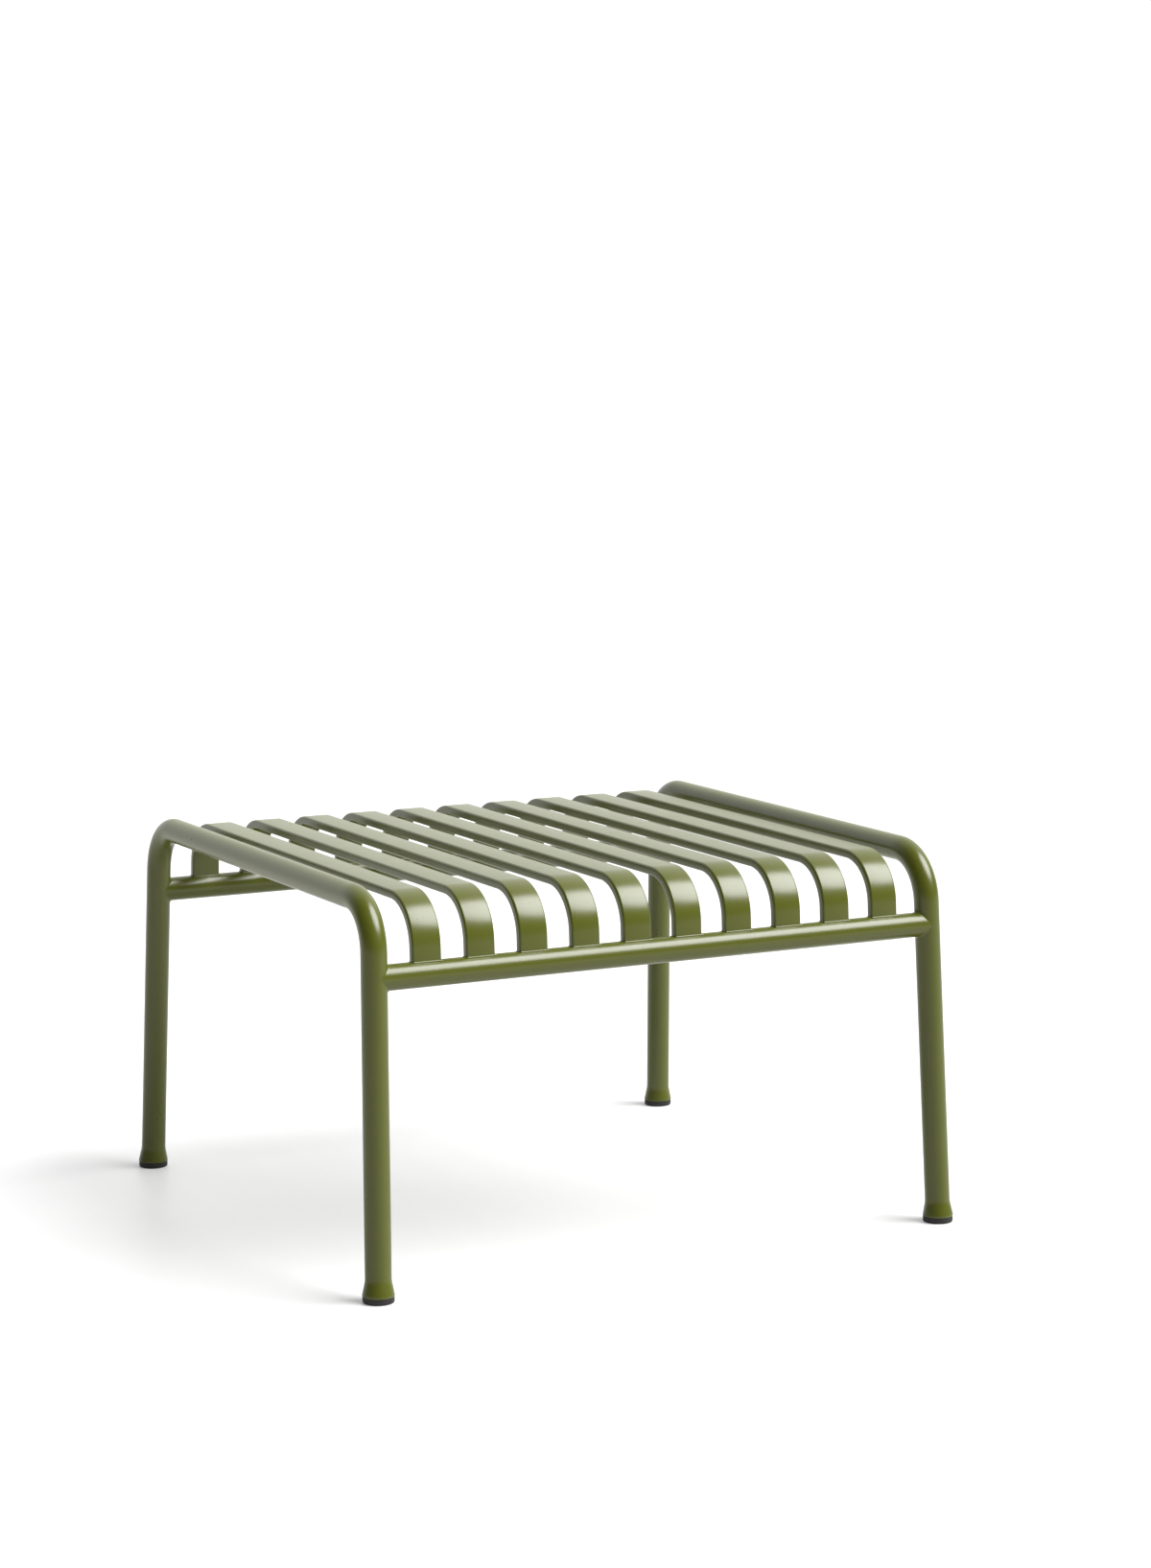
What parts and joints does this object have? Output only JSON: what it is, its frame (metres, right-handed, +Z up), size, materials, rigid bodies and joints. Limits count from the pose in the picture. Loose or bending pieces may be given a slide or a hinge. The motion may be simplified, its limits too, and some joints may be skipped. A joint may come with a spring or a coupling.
{
  "type": "backless bench",
  "caption": "Low backless garden bench: two bent round-tube side frames on splayed legs, joined by two cross rails that carry curved flat slats; black foot glides.",
  "frame": {"origin": "on the floor, under the middle of the seat", "axes": "+X along the bench to its right side frame, +Y to its rear rail, +Z up"},
  "size_m": [0.6546, 0.6254, 0.3885],
  "materials": {
    "powder_coat": "satin olive green powder coat with a very fine orange peel",
    "glide_plastic": "moulded black plastic, slightly matt"
  },
  "bodies": {
    "root": {"side_frame_left": "powder_coat", "side_frame_right": "powder_coat", "rail_front": "powder_coat", "rail_rear": "powder_coat", "slat_01": "powder_coat", "slat_02": "powder_coat", "slat_03": "powder_coat", "slat_04": "powder_coat", "slat_05": "powder_coat", "slat_06": "powder_coat", "slat_07": "powder_coat", "slat_08": "powder_coat", "slat_09": "powder_coat", "slat_10": "powder_coat", "foot_glide_front_left": "glide_plastic", "foot_glide_front_right": "glide_plastic", "foot_glide_rear_left": "glide_plastic", "foot_glide_rear_right": "glide_plastic", "rail_weld_front_left": "powder_coat", "rail_weld_front_right": "powder_coat", "rail_weld_rear_left": "powder_coat", "rail_weld_rear_right": "powder_coat", "slat_welds_front": "powder_coat", "slat_welds_rear": "powder_coat"}
  },
  "joints": []
}
